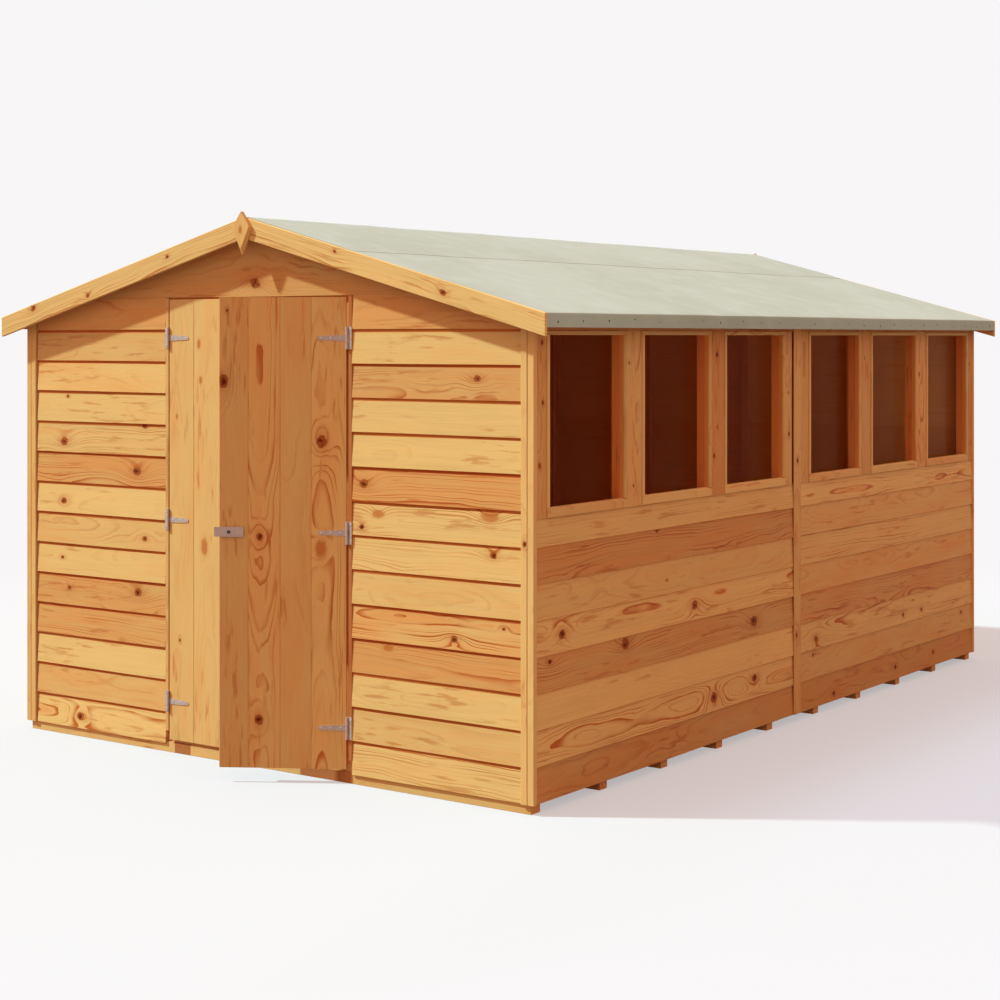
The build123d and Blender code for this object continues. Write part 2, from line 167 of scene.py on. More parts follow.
spread = total(calc("SQRT", total(square(off_along, 1.25), square(off_across))), times(given["Ragged"], 0.6))
stain = lens(2.6, 1.35)
blotch = eased(total(stain, times(given["Ragged"], 0.55)), 0.3, 0.62)
fill(end, Bulge=times(lens(4.6, 2.3), radius, present), Body=times(eased(spread, 0.78, 1.08, 1, 0), shows),
     Stain=times(stain, present), Halo=times(lens(3.4, 2.2), shows), Blotch=times(blotch, hidden), Spread=spread)

# Flat-sawn pine: a board is cut at some depth beside the pith, so the ring at a point is its distance
# from the pith line. Depth that changes along the board draws the tall arches, and knots push the rings
# aside. Each ring ends in a thin late line that comes and goes, and the heart inside them is redder.
pine_group, given, end = open_group(
    "Pine grain", {
        "Float": ("Along", "Across", "Ring width"), "Vector": ("Rings", "Tone", "Knot 1", "Knot 2", "Knot 3"),
        "Color": ("Pale wood", "Late wood", "Red wood", "Knot wood")},
    {"Color": ("Colour",), "Float": ("Roughness", "Height")})
pith_across, pith_depth, pith_slope = split(given["Rings"])
lightness, warmth, figure = split(given["Tone"])
late_wood = given["Late wood"]


def swell(along_scale, across_scale, amount=1, detail=2):
    """Noise about 0 over the board, from minus to plus half of an amount."""
    noise = cloud(given["Along"], given["Across"], along_scale, across_scale, detail)
    return times(minus(noise, 0.5), amount)


ragged = total(swell(60, 75, 0.9), swell(210, 210, 0.4))
at_point = {"Along": given["Along"], "Across": given["Across"], "Ragged": ragged}
knots = [place_group(knot_group, Knot=given[f"Knot {number}"], **at_point) for number in (1, 2, 3)]


def most(name):
    """The largest of one output over the three knots."""
    return largest(*[knot[name] for knot in knots])


depth = total(pith_depth, times(given["Along"], pith_slope), swell(1.3, 0.8, 0.07))
ring = calc("SQRT", total(square(minus(given["Across"], pith_across)), square(depth)))
ring = total(ring, swell(3.2, 12, 0.016), swell(14, 50, 0.0026), times(most("Bulge"), 1.9))
years = ratio(ring, given["Ring width"])
years = total(years, times(calc("SINE", times(years, 2.33)), 0.26))
phase = calc("FRACT", years)
season = new_node("TexWhiteNoise", years)
season.noise_dimensions = "1D"
fill(season, W=calc("FLOOR", years))
season_strength = eased(season.outputs["Value"], 0.1, 0.9, 0.25, 1.3)
late = times(eased(phase, 0.56, 0.94), eased(phase, 0.95, 0.99, 1, 0))
fibre, streak, patch = [swell(*scales, detail=3) for scales in ((6, 340), (1.3, 60), (2.2, 10))]
comes = eased(swell(2.6, 15), -0.14, 0.16, 0.2, 1.35)
halo = most("Halo")
strength = times(largest(times(comes, season_strength), halo), total(figure, times(halo, 0.45)))
flames = times(
    eased(swell(7, 60, detail=3), 0.04, 0.2), eased(swell(1.9, 9), 0.02, 0.12, 0, 0.5))
wood = blend(largest(least(times(late, strength), 1), flames), given["Pale wood"], late_wood)
heart = eased(ring, 0.03, 0.0325, 0.5, 0)
red_share = total(warmth, times(patch, 0.95), times(streak, 0.5), heart)
wood = blend(eased(red_share, 0, 1), wood, given["Red wood"], "MULTIPLY")
for mask, share in (("Stain", 0.5), ("Blotch", 0.62)):
    wood = blend(times(most(mask), share), wood, late_wood)
near_knot = least(*[knot["Spread"] for knot in knots])
core = total(near_knot, swell(55, 55, 1.3, 1))
knot_wood = blend(eased(core, 0.1, 0.75, 0, 0.75), given["Knot wood"], late_wood)
knot_wood = blend(eased(near_knot, 0.7, 0.95, 0, 0.6), knot_wood, given["Knot wood"])
wood = blend(most("Body"), wood, knot_wood)
shade = total(1, lightness, times(fibre, 0.17), times(streak, 0.16), times(patch, 0.14))
grey = fill(new_node("CombineColor", shade), Red=shade, Green=shade, Blue=shade)
wood = blend(1, wood, grey.outputs["Color"], "MULTIPLY")
fill(end, Colour=wood, Roughness=total(0.6, times(late, -0.08), times(fibre, 0.2)), Height=fibre)

PALE_PINE = (0.745, 0.44, 0.152, 1)
PINE_MARKS = {
    "Late_wood": (0.47, 0.115, 0.018, 1), "Red_wood": (0.92, 0.66, 0.56, 1), "Knot_wood": (0.12, 0.016, 0.004, 1)}


def new_finish(name):
    """A plain material. Gives it with its tree and its shader."""
    material = bpy.data.materials.new(name)
    material.use_nodes = True
    return material, material.node_tree, material.node_tree.nodes["Principled BSDF"]


def object_place(tree):
    """Object coordinates x, y and z, which hold still when a piece moves."""
    return split(tree.nodes.new("ShaderNodeTexCoord").outputs["Object"])


def relief(height, strength, distance):
    """Normals bent by a height."""
    bump = fill(new_node("Bump", height), Height=height, Strength=strength, Distance=distance)
    return bump.outputs["Normal"]


def finish_wood(shader, outputs, colour, bump_height):
    """Joins a colour and the grain's roughness and height to the wood's shader."""
    fill(shader, Base_Color=colour, Roughness=outputs["Roughness"], Specular_IOR_Level=0.06,
         Normal=relief(outputs["Height"], 0.6, bump_height))


def sawn_timber(name, grain, lightness, warmth, pale=PALE_PINE):
    """Framing timber: the grain runs along one axis of the shed, and the pith lies well off the face."""
    material, tree, shader = new_finish(name)
    axes = dict(zip("xyz", object_place(tree)))
    outputs = place_group(
        pine_group, Along=axes.pop(grain), Across=total(*axes.values()), Rings=(-0.11, 0.05, 0.004),
        Tone=(lightness, warmth, 0.35), Ring_width=0.0065, Pale_wood=pale, **PINE_MARKS)
    finish_wood(shader, outputs, outputs["Colour"], 0.0012)
    return material


def dress(material, *nodes):
    """Puts a material on CAD nodes that keep their own shape."""
    for name in nodes:
        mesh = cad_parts[name].data
        mesh.materials.clear()
        mesh.materials.append(material)


dress(sawn_timber("Sawn joist pine", "x", 0, 0.4, (0.78, 0.41, 0.15, 1)), "floor_joists")

# ---- Deck ----
# The floor is of planed pine boards, tongued together and nailed down on the joists. They run from the
# front to the back, and show through the doorway and the windows.
X, Y, Z = np.eye(3)


def eased_outline(width, thickness, ease):
    """Outline of a plain board, (across, out), its four corners eased off. It starts on the outer face."""
    return np.array([
        (ease, thickness), (width - ease, thickness), (width, thickness - ease), (width, ease),
        (width - ease, 0), (ease, 0), (0, ease), (0, thickness - ease),
    ])


# Kinds of board in a batch: how much lighter and redder each is, how strongly its lines show, and the
# pith behind it: its place across in widths, its depth, and how fast that depth changes along.
DEEP_PITH = ((0.085, 0.13), (0.004, 0.014))
BOARD_KINDS = {
    "plain": (0.02, 0, 0.12, (0.25, 0.75), *DEEP_PITH),
    "golden": (0.01, 0.24, 0.15, (0.25, 0.75), *DEEP_PITH),
    "lined": (0.02, 0.1, 0.62, (-0.7, -0.2), (0.05, 0.08), (0.003, 0.01)),
    "figured": (0.06, 0.04, 0.76, (0.3, 0.7), (0.03, 0.046), (0.01, 0.02)),
    "warm": (-0.03, 0.4, 0.27, (0.2, 0.8), (0.06, 0.095), (0.006, 0.016)),
    "red": (-0.05, 0.75, 0.58, (-0.4, 0.1), (0.045, 0.08), (0.004, 0.014)),
    "flamed": (-0.03, 0.58, 0.75, (0.55, 0.75), (0.03, 0.04), (0.01, 0.02)),
    "dark": (-0.14, 0.66, 0.3, (0.2, 0.8), *DEEP_PITH),
    "arched": (0.03, 0.42, 0.62, (0.2, 0.8), *DEEP_PITH),
    "gable": (-0.03, 0.66, 0.22, (0.2, 0.8), *DEEP_PITH),
    "leaf": (-0.01, 0.7, 0.2, (0.2, 0.8), *DEEP_PITH),
}
BOARD_VALUES = ("rings", "tone", "knot_1", "knot_2", "knot_3")


def skin(rows, corners):
    """A skin of closed rings, one to a row: its point numbers as a grid, and its four-sided faces."""
    number = np.arange(rows * corners).reshape(rows, corners)
    after = np.roll(number, -1, axis=1)
    return number, np.stack([number[:-1], after[:-1], after[1:], number[1:]], -1).reshape(-1, 4).tolist()


def pine_board(rng, place, outline, run, kind, knots=(), bow=0, top=None, also=(), lightness=0, pith=None):
    """One board: a closed outline (across, out) carried along its length s to origin + s * along + across
    * sideways + out * outwards, the four vectors of its place. Its run is the first and the last s and the
    number of steps between, and also adds one. It bows by two slow waves, and is cut to the height top. Its
    map counts s along the grain, and across it the way round the outline."""
    s = np.unique(np.append(np.linspace(*run), also))[:, None]
    waves = rng.uniform(0, 2 * math.pi, 4)
    across = outline[None, :, 0] + bow * (np.sin(2.1 * s + waves[0]) + 0.6 * np.sin(6.3 * s + waves[1]))
    out = outline[None, :, 1] + bow * (np.sin(2.7 * s + waves[2]) + 0.5 * np.sin(7.9 * s + waves[3]))
    if top is not None:
        across = np.minimum(across, top(s))
    origin, along, sideways, outwards = np.array(place, float)
    points = origin + s[..., None] * along + across[..., None] * sideways + out[..., None] * outwards
    number, sides = skin(*across.shape)
    edges = np.linalg.norm(np.roll(outline, -1, axis=0) - outline, axis=1)
    girth = outline[0, 0] + np.concatenate([[0], np.cumsum(edges)])
    shift = rng.uniform(5, 60)
    row, corner = np.indices((len(s) - 1, len(outline)))
    side_map = np.stack([
        np.stack([s[row + on, 0], girth[corner + over]], -1)
        for on, over in ((0, 0), (0, 1), (1, 1), (1, 0))], 2).reshape(-1, 2)
    end_map = np.concatenate([
        np.stack([s[end, 0] + out[end], across[end]], -1)[::order] for end, order in ((0, -1), (-1, 1))])
    light, warm, lines, across_shares, depths, slopes = BOARD_KINDS[kind]
    slope = rng.choice([-1, 1]) * rng.uniform(*slopes)
    rings = np.array([rng.uniform(*across_shares) * outline[:, 0].max(), rng.uniform(*depths), slope])
    if pith is not None:
        rings = np.array(pith, float)
    rings[1] -= rings[2] * ((s[0, 0] + s[-1, 0]) / 2 + shift)
    tone = np.array([
        lightness + light + rng.normal(0, 0.03), warm + rng.normal(0, 0.08), lines * rng.uniform(0.75, 1.2)])
    marks = [np.add(mark, (shift, 0, 0)) for mark in knots[:3]]
    marks += [np.zeros(3)] * (3 - len(marks))
    return {
        "points": points.reshape(-1, 3), "faces": sides + [number[0][::-1].tolist(), number[-1].tolist()],
        "map": np.concatenate([side_map, end_map]) + (shift, 0), **dict(zip(BOARD_VALUES, (rings, tone, *marks))),
    }


def add_object(name, data):
    """Puts a new object into the scene."""
    added = bpy.data.objects.new(name, data)
    bpy.context.scene.collection.objects.link(added)
    return added


def fix_on(name, mesh, material, body, slot, *nodes, crease=None):
    """Turns a mesh's faces outwards, rounds it off below a crease in degrees, if any, and fixes it to its body
    in place of its nodes."""
    shell = bmesh.new()
    shell.from_mesh(mesh)
    bmesh.ops.recalc_face_normals(shell, faces=shell.faces)
    shell.to_mesh(mesh)
    shell.free()
    if crease is not None:
        mesh.shade_smooth()
        mesh.set_sharp_from_angle(angle=math.radians(crease))
    mesh.materials.append(material)
    piece = add_object(name, mesh)
    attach(piece, body)
    if nodes:
        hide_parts(*nodes)


def nail_up(name, boards, material, slot, *nodes, body="shed"):
    """Joins boards into one piece, with their maps and values, and fixes it on."""
    counts = [len(board["points"]) for board in boards]
    starts = np.cumsum([0] + counts)
    mesh = bpy.data.meshes.new(name)
    mesh.from_pydata(np.concatenate([board["points"] for board in boards]), [], [
        [corner + int(start) for corner in face] for board, start in zip(boards, starts) for face in board["faces"]])
    uv_map = mesh.uv_layers.new(name="Grain")
    uv_map.data.foreach_set("uv", np.concatenate([board["map"] for board in boards]).astype(np.float32).ravel())
    for key in BOARD_VALUES:
        values = np.repeat([board[key] for board in boards], counts, axis=0)
        attribute = mesh.attributes.new(key, "FLOAT_VECTOR", "POINT")
        attribute.data.foreach_set("vector", values.astype(np.float32).ravel())
    fix_on(name, mesh, material, body, slot, *nodes)


def planed_pine(name, ring_width=0.0095, painted_lap_shade=None, back=None, pale=PALE_PINE):
    """Planed boards: the grain follows each board's own map, rings, tone and knots. Under the lap of the
    next board, from painted_lap_shade on, the wood is darkened with painted shade. From back on, round the
    outline, lies the sawn back, which has drunk more of the dip and is redder."""
    material, tree, shader = new_finish(name)
    place = tree.nodes.new("ShaderNodeUVMap")
    place.uv_map = "Grain"
    grain_along, grain_across, _ = split(place.outputs["UV"])
    own = {}
    for key in BOARD_VALUES:
        attribute = tree.nodes.new("ShaderNodeAttribute")
        attribute.attribute_name = key
        own[key.capitalize()] = attribute.outputs["Vector"]
    outputs = place_group(
        pine_group, Along=grain_along, Across=grain_across, Ring_width=ring_width, Pale_wood=pale, **PINE_MARKS, **own)
    colour = outputs["Colour"]
    # Painted shade: the wood just under the next board's lap is darkened.
    if painted_lap_shade is not None:
        under_lap = eased(grain_across, painted_lap_shade - 0.001, painted_lap_shade + 0.002)
        colour = blend(under_lap, colour, (0.68, 0.31, 0.16, 1), "MULTIPLY")
    if back is not None:
        sawn = eased(grain_across, back - 0.001, back, 0, 0.75)
        colour = blend(sawn, colour, (0.95, 0.29, 0.055, 1))
    finish_wood(shader, outputs, colour, 0.0005)
    return material


def scattered_knots(rng, first, last, width, spacing):
    """Up to three knots along a board: their places, and radii of 4 to 14 mm."""
    wanted = min(3, rng.poisson(abs(last - first) / spacing))
    places = first + (last - first) * (np.arange(wanted) + rng.uniform(0.15, 0.85, wanted)) / max(wanted, 1)
    widest = min(0.014, 0.16 * width)
    return [(at, rng.uniform(0.18, 0.82) * width, rng.uniform(0.3, 1) * widest) for at in places]


deck_rng = np.random.default_rng(11)
deck_low, deck_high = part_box("floor_deck")
DECK_BOARDS = 20
DECK_JOINT = 0.001
ALL_ROUND = -1
deck_board_width = (deck_high.x - deck_low.x) / DECK_BOARDS
deck_boards = [
    pine_board(
        deck_rng, ((deck_low.x + number * deck_board_width, 0, deck_low.z), Y, X, Z),
        eased_outline(deck_board_width - DECK_JOINT, deck_high.z - deck_low.z, 0.0012),
        (deck_low.y, deck_high.y, 13), deck_rng.choice(["plain", "warm", "lined"]),
        scattered_knots(deck_rng, deck_low.y, deck_high.y, deck_board_width, 1.3), lightness=-0.1)
    for number in range(DECK_BOARDS)]
inner_pine = planed_pine("Planed inner pine", back=ALL_ROUND)
nail_up("deck_boards", deck_boards, inner_pine, "floor_timber", "floor_deck")

# ---- Wall frames ----
# Light sawn studs and rails stand on the deck and hold the boards, with a head over the doorway and
# posts between the lights. Sawn faces drink more of the dip, so the frames are redder inside.
upright_timber, cross_timber, long_timber = [
    sawn_timber(name, grain, -0.02, 0.7, (0.9, 0.33, 0.085, 1))
    for name, grain in (("Sawn upright pine", "z"), ("Sawn cross pine", "x"), ("Sawn long pine", "y"))]
dress(upright_timber, "front_studs", "back_studs", "left_studs", "right_studs", "window_posts")
dress(cross_timber, "front_rails", "back_rails", "door_head")
dress(long_timber, "left_rails", "right_rails")

# ---- Front boards ----
# Lapped pine boards, nailed across the studs, each one lipped over the board below. They run beside the
# doorway in thirteen courses. Above them boards that meet flush fill the gable, cut to the roof.
COURSE = 0.117
BOARD_LAP = 0.008
LAP_STEP = 0.0055
LAP_BOW = 0.0006
CLADDING = 0.016
BOARD_BACK = 0.003
REBATE = 0.01
COURSE_START = 0.032
BACK_ROUND = COURSE + BOARD_LAP + 0.004
rebate_face = CLADDING - LAP_STEP + 0.0006
lap_outline = np.array([
    (0.0012, CLADDING), (COURSE + BOARD_LAP, CLADDING - LAP_STEP), (COURSE + BOARD_LAP, BOARD_BACK),
    (REBATE, BOARD_BACK), (REBATE, rebate_face), (0, rebate_face), (0, CLADDING - 0.0012),
])
(wall_left, _, _), (wall_right, front_plane, _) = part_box("front_cladding")
door_side, _, roof_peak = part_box("front_gable_cladding")[1]
ROOF_PITCH = math.radians(15.1)
ROOF_SLOPE = math.tan(ROOF_PITCH)
LEAST_END = 0.012
CORNER_GAP = 0.006
# Boards from the bottom up, as they lie left and right of the doorway
FRONT_LEFT = "figured golden plain red red plain warm plain red lined plain golden warm".split()
FRONT_RIGHT = "lined golden golden red flamed golden lined lined red plain plain red golden".split()
# Knots on the front in millimetres: x, height and radius
FRONT_KNOTS = np.array([
    (-974, 1299, 6), (-557, 1196, 11), (-991, 1127, 16), (-596, 1026, 17), (-994, 897, 13), (-554, 778, 10),
    (-1003, 681, 7), (-964, 566, 9), (-592, 576, 16), (-902, 79, 16), (495, 1029, 16), (487, 881, 9),
    (557, 928, -11), (1024, 945, -15), (1037, 820, 12), (880, 535, 12), (972, 1391, 12), (1078, 586, 6),
    (600, 480, -9), (-4, 1718, 19),
]) / 1000


def under_roof(x):
    """Height of the roof boards' underside at a distance x from the ridge line."""
    return roof_peak - np.abs(x) * ROOF_SLOPE


def course_bottom(course):
    """Height of the lower edge of a course of boards."""
    return COURSE_START + course * COURSE


def knots_on(marks, first, last, bottom):
    """The marks that fall on one board, as (along, across, radius)."""
    at, height = marks[:, 0], marks[:, 1]
    on_board = (at > first) & (at < last) & (height > bottom) & (height < bottom + COURSE)
    return marks[on_board] - (0, bottom, 0)


def gable_board(rng, plane, outwards, first, last, count, course, outline, kind, knots):
    """One board across the front or the back from first to last, cut to the roof."""
    bottom = course_bottom(course)
    return pine_board(
        rng, ((0, plane, bottom), X, Z, outwards), outline, (first, last, count), kind, knots, LAP_BOW,
        lambda s: under_roof(s) - bottom - 0.0005, 0 if first < 0 < last else ())


front_rng = np.random.default_rng(23)


def front_board(first, last, course, outline, kind):
    """One board across the front, with the front's knots that fall on it."""
    marks = knots_on(FRONT_KNOTS, first, last, course_bottom(course))
    return gable_board(front_rng, front_plane, -Y, first, last, 15, course, outline, kind, marks)


beside_doorway = ((wall_left + CORNER_GAP, -door_side), (door_side, wall_right))
front_boards = [
    front_board(*run, course, lap_outline, kind)
    for course, kinds in enumerate(zip(FRONT_LEFT, FRONT_RIGHT)) for run, kind in zip(beside_doorway, kinds)]
# The front boards carry painted shade under each lap.
front_pine = planed_pine("Golden front pine", painted_lap_shade=COURSE - 0.0105, back=BACK_ROUND)
nail_up("front_boards", front_boards, front_pine, "cladding", "front_cladding")

# The gable: a board beside each top corner of the doorway, and a broad one over all three, flush with them
FLUSH_FACE = CLADDING - 0.004
top_course = len(FRONT_LEFT)
gable_rise = roof_peak - course_bottom(top_course + 1)
gable_reach = (gable_rise - LEAST_END) / ROOF_SLOPE
corner_outline = np.concatenate([lap_outline[:1], [(COURSE, FLUSH_FACE), (COURSE, BOARD_BACK)], lap_outline[3:]])
broad_outline = np.array([(0, FLUSH_FACE), (gable_rise, FLUSH_FACE), (gable_rise, BOARD_BACK), (0, BOARD_BACK)])
gable_boards = [front_board(*run, top_course, corner_outline, "gable") for run in beside_doorway]
gable_boards.append(front_board(-gable_reach, gable_reach, top_course + 1, broad_outline, "gable"))
nail_up("gable_boards", gable_boards, planed_pine("Broad gable pine"), "cladding", "front_gable_cladding")

# ---- Back boards ----
# The back is boarded in the same lapped courses, from corner to corner and up to the roof.
back_rng = np.random.default_rng(31)
back_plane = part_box("back_cladding")[0].y
board_pine = planed_pine("Golden board pine", ring_width=0.0078, back=BACK_ROUND)
BATCH = "plain plain plain lined lined warm warm red figured".split()
BACK_COURSES = 17
back_boards = []
for course in range(BACK_COURSES):
    reach = min(wall_right, (roof_peak - course_bottom(course) - LEAST_END) / ROOF_SLOPE)
    back_boards.append(gable_board(
        back_rng, back_plane, Y, -reach, reach, 25, course, lap_outline, back_rng.choice(BATCH),
        scattered_knots(back_rng, -reach, reach, COURSE, 0.9)))
nail_up("back_boards", back_boards, board_pine, "cladding", "back_cladding")

# ---- Side boards ----
# Each side is two panels of lapped boards that butt in the middle. The left side is boarded up to the
# eaves, and the right side up to the sill under the lights.
side_rng = np.random.default_rng(47)
HANDS = (("left", -1), ("right", 1))
(side_plane, side_front, _), (_, side_back, sill_height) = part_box("right_cladding")
side_middle = (side_front + side_back) / 2
eave_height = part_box("left_cladding")[1].z
PANEL_GAP = 0.004
panels = [(side_front, side_middle - PANEL_GAP / 2), (side_middle + PANEL_GAP / 2, side_back)]
left_courses = math.ceil((eave_height - COURSE_START) / COURSE)
# Right side boards from the bottom up, near panel and far panel, and their knots as on the front, from y
RIGHT_SIDE = [batch.split() for batch in (
    "dark figured plain red figured golden red lined", "dark golden figured red warm lined warm figured")]
RIGHT_KNOTS = np.array([
    (131, 558, 16), (60, 478, 9), (525, 477, 20), (999, 554, 17), (1453, 441, 21), (1458, 225, 16), (1140, 199, 20),
    (1982, 307, 13), (1962, 244, 6), (3045, 304, 9), (2843, 304, 9), (2144, 63, 11), (2762, 84, 11), (3181, 93, 10),
    (3510, 237, 9), (799, 666, 5), (736, 844, 7),
]) / 1000
for (side, hand), height, batches, marks in zip(
    HANDS, (eave_height, sill_height), (side_rng.choice(BATCH, (2, left_courses)), RIGHT_SIDE), (None, RIGHT_KNOTS),
):
    side_boards = []
    for (first, last), batch in zip(panels, batches):
        for course, kind in enumerate(batch):
            bottom = course_bottom(course)
            if marks is None:
                board_knots = scattered_knots(side_rng, first, last, COURSE, 0.9)
            else:
                board_knots = knots_on(marks, first, last, bottom)
            side_boards.append(pine_board(
                side_rng, ((hand * side_plane, 0, bottom), Y, Z, hand * X), lap_outline, (first, last, 21), kind,
                board_knots, LAP_BOW, lambda s: height - bottom + 0 * s))
    nail_up(side + "_boards", side_boards, board_pine, "cladding", side + "_cladding")

# ---- Cover strips and jambs ----
# Planed strips stand over the board ends: two side by side at each corner, with a fine groove between them,
# and one over the joint in the middle of each side. Two slim jambs line the doorway, the right one painted
# dark as the open leaf's shade, and stops on them and under the head stand clear behind the shut leaves.
strip_rng = np.random.default_rng(59)
trim_pine = planed_pine("Planed trim pine")
STRIP_PROUD = 0.004
INNER_STRIP = 0.026
JOINT_STRIP = 0.06
strip_face = CLADDING + STRIP_PROUD
corner_width = side_plane + strip_face - wall_right
strip_top = under_roof(wall_right + corner_width / 2)
cover_strips = []
for hand in (-1, 1):
    for plane, facing in ((front_plane, -Y), (back_plane, Y)):
        for start, width, height in (
            (0, INNER_STRIP, strip_face), (INNER_STRIP, corner_width - INNER_STRIP, strip_face - 0.001),
        ):
            cover_strips.append(pine_board(
                strip_rng, ((hand * (wall_right + start), plane, 0), Z, hand * X, facing),
                eased_outline(width, height, 0.0022), (COURSE_START, strip_top, 14), "golden",
                [(0.864, 0.016, 0.008)] if hand > 0 and start == 0 else (), bow=0.0002))
    cover_strips.append(pine_board(
        strip_rng, ((hand * (side_plane + CLADDING), side_middle - JOINT_STRIP / 2, 0), Z, Y, hand * X),
        eased_outline(JOINT_STRIP, STRIP_PROUD, 0.0012), (COURSE_START, eave_height, 14), "warm",
        scattered_knots(strip_rng, 0.1, 1.5, 0.06, 0.9)))
nail_up("corner_strips", cover_strips, trim_pine, "trim", "cover_strips")

JAMB = 0.016
jamb_low, jamb_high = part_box("door_jambs")
jamb_run = (jamb_low.z, jamb_high.z, 9)
# Painted shade: this dark pine stands in for the open leaf's shadow on the right jamb and for shade under the leaves.
shade_painted_pine = planed_pine("Shade painted jamb pine", pale=(0.47, 0.165, 0.05, 1))
for (side, hand), material in zip(HANDS, (trim_pine, shade_painted_pine)):
    jamb = pine_board(
        strip_rng, ((hand * jamb_high.x, jamb_high.y, 0), Z, -hand * X, -Y),
        eased_outline(JAMB, jamb_high.y - jamb_low.y, 0.0012), jamb_run, "warm")
    nail_up(side + "_doorway_jamb", [jamb], material, "trim", "door_jambs")
STOP = 0.022
STOP_THICKNESS = 0.009
stop_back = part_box("left_door_leaf")[1].y + STOP_THICKNESS + 0.0055
stop_outline = eased_outline(STOP, STOP_THICKNESS, 0.001)
stops = [
    pine_board(
        strip_rng, ((hand * (jamb_high.x - JAMB), stop_back, 0), Z, -hand * X, -Y), stop_outline, jamb_run, "warm")
    for hand in (-1, 1)]
stop_edge = jamb_high.x - JAMB - STOP
stops.append(pine_board(
    strip_rng, ((0, stop_back, jamb_high.z - STOP), X, Z, -Y), stop_outline, (-stop_edge, stop_edge, 9), "warm"))
nail_up("doorway_stops", stops, inner_pine, "trim")

# A slim planed strip covers the front joist, half in the shade of the boards' lips. Two short lengths of it
# in the doorway are painted dark as shade under the leaves.
floor_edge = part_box("floor_joists")[1].x
edge_outline = eased_outline(COURSE_START + 0.006, 0.008, 0.001)
for name, material, lengths in (
    ("floor_edge_strip", trim_pine, ((-floor_edge, -0.405), (-0.325, 0.205), (0.445, floor_edge))),
    ("floor_edge_painted_shade", shade_painted_pine, ((-0.405, -0.325), (0.205, 0.445))),
):
    strips = [
        pine_board(strip_rng, ((0, front_plane, 0), X, Z, -Y), edge_outline, (first, last, 9), "golden")
        for first, last in lengths]
    nail_up(name, strips, material, "trim")

# ---- Window facings and head boards ----
# Upright boards face the posts between the lights, and a board lies along the top under the eaves. They
# are flush with the side boards. The near panel's last one stops short of the joint strip by a dark slot.
facing_rng = np.random.default_rng(61)
light_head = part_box("window_facings")[1].z
LIGHTS_PER_PANEL = 3
MULLION = 0.102
OUTER_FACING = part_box("window_beads")[0].y - side_front
INNER_FACING = 0.103
JOINT_SLOT = 0.012
panel_length = panels[0][1] - panels[0][0]
bead_frame = (panel_length - OUTER_FACING - INNER_FACING - (LIGHTS_PER_PANEL - 1) * MULLION) / LIGHTS_PER_PANEL
facings = []
light_starts = []
for (first, last), margin in zip(panels, (OUTER_FACING, INNER_FACING)):
    lights = [first + margin + number * (bead_frame + MULLION) for number in range(LIGHTS_PER_PANEL)]
    light_starts += lights
    facing_end = last if last > side_middle else side_middle - JOINT_STRIP / 2 - JOINT_SLOT
    for low, high in zip([first] + [start + bead_frame for start in lights], lights + [facing_end]):
        facings.append(pine_board(
            facing_rng, ((side_plane, low, 0), Z, Y, X), eased_outline(high - low, CLADDING, 0.001),
            (sill_height, light_head, 7), facing_rng.choice(["warm", "red", "arched"]),
            scattered_knots(facing_rng, sill_height, light_head, min(0.06, high - low), 0.5)))
nail_up("window_facing_boards", facings, trim_pine, "trim", "window_facings")
head_boards = [
    pine_board(
        facing_rng, ((side_plane, 0, light_head), Y, Z, X), eased_outline(eave_height - light_head, CLADDING, 0.001),
        (first, last, 15), "red", scattered_knots(facing_rng, first, last, 0.06, 0.9))
    for first, last in panels]
nail_up("window_top_boards", head_boards, trim_pine, "trim", "window_head_boards")

# ---- Glazing beads ----
# Slim planed beads frame each light and hold the pane: two uprights, a head, and a deeper sill below.
# Their inner arris is chamfered towards the pane.
bead_rng = np.random.default_rng(67)
BEAD = 0.018
SILL_BEAD = 0.032
HEAD_BEAD = 0.014
BEAD_EASE = 0.0012


def bead_outline(width, chamfer):
    """Outline of a bead whose inner arris, at the full width, is chamfered."""
    return np.array([
        (BEAD_EASE, strip_face), (width - chamfer, strip_face), (width, strip_face - chamfer), (width, 0), (0, 0),
        (0, strip_face - BEAD_EASE)])


beads = []
far_beads = []
for start in light_starts:
    stop = start + bead_frame
    for row, edge, inwards, kind in ((beads, start, Y, "plain"), (far_beads, stop, -Y, "warm")):
        row.append(pine_board(
            bead_rng, ((side_plane, edge, 0), Z, inwards, X), bead_outline(BEAD, 0.004),
            (sill_height + SILL_BEAD, light_head - HEAD_BEAD, 5), kind))
    for edge, inwards, width, chamfer in ((sill_height, Z, SILL_BEAD, 0.008), (light_head, -Z, HEAD_BEAD, 0.004)):
        beads.append(pine_board(
            bead_rng, ((side_plane, 0, edge), Y, inwards, X), bead_outline(width, chamfer), (start, stop, 5),
            bead_rng.choice(["plain", "lined", "warm"])))
nail_up("glazing_beads", beads, trim_pine, "trim", "window_beads")
far_bead_pine = planed_pine("Far bead pine", back=BEAD + 0.003)
nail_up("far_glazing_beads", far_beads, far_bead_pine, "trim", "window_beads")

# ---- Panes ----
# Clear styrene panes are pinned behind the posts. They show the dark inside, a slight ripple and a little
# dust, and only a weak reflection.
pane_clear, tree, shader = new_finish("Clear pane")
_, pane_along, pane_up = object_place(tree)
dust = cloud(pane_along, pane_up, 9, 7, 4)
fill(shader, Transmission_Weight=1, IOR=1.03, Base_Color=(0.9, 0.88, 0.86, 1),
     Normal=relief(cloud(pane_along, pane_up, 4, 3, 1), 0.05, 0.002),
     Roughness=eased(dust, 0.4, 0.8, 0.01, 0.09))
dress(pane_clear, "window_panes")

